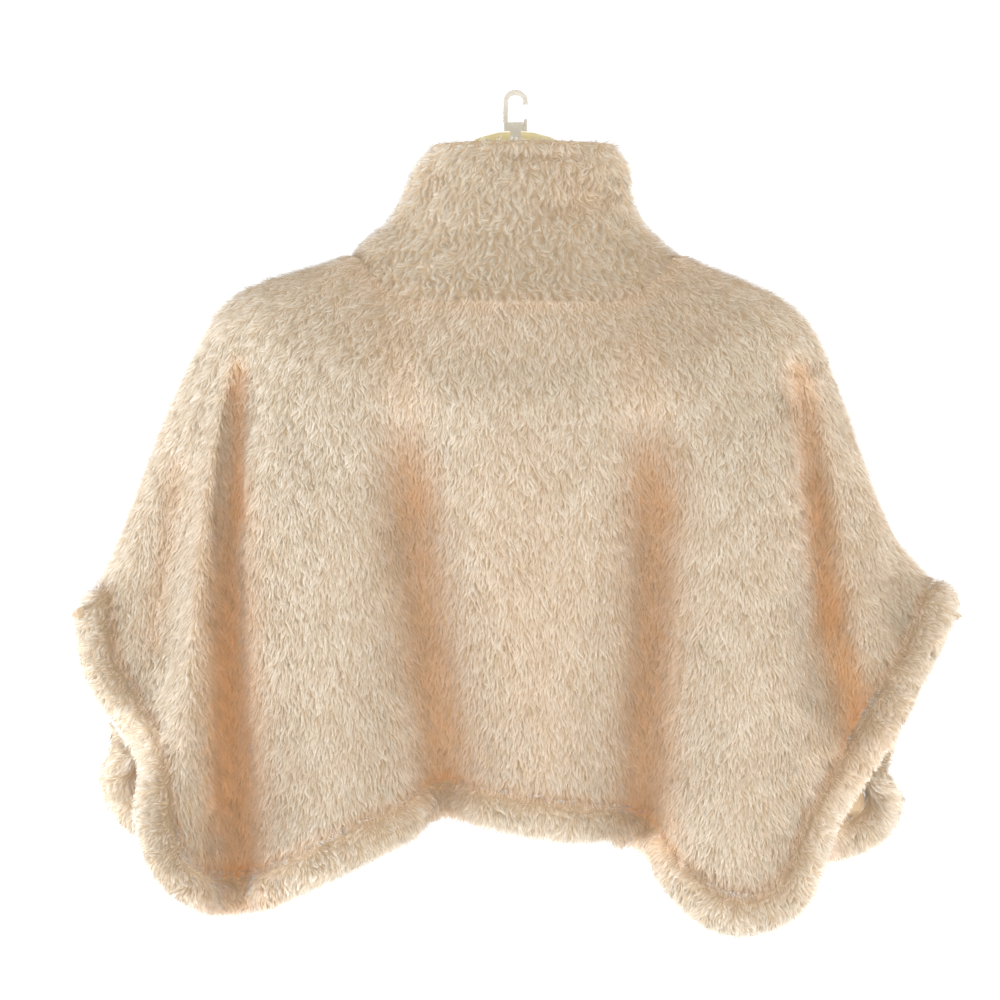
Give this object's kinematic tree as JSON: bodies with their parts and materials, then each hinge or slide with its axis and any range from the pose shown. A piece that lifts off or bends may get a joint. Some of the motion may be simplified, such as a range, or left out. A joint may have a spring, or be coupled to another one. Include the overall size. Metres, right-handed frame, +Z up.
{
  "type": "plush blanket cape on a hanger",
  "caption": "Pull-on blanket cape of long cream plush with a funnel collar and a thick rolled edge band, hung in deep folds on a contoured hanger with a flat hook.",
  "frame": {"origin": "where a rail bears in the hook, at the inner top of its bend", "axes": "+Z up, -Y out of the cape's back, which faces the viewer, +X to the wearer's right seen from behind"},
  "size_m": [0.7977, 0.1856, 0.7538],
  "materials": {
    "plush": "long matt plush pile",
    "hanger": "satin, light tan",
    "hook": "milky clear moulding"
  },
  "bodies": {
    "root": {"back_panel": "plush", "front_panel": "plush", "collar": "plush", "left_band": "plush", "right_band": "plush", "hanger": "hanger", "hook": "hook"}
  },
  "joints": []
}
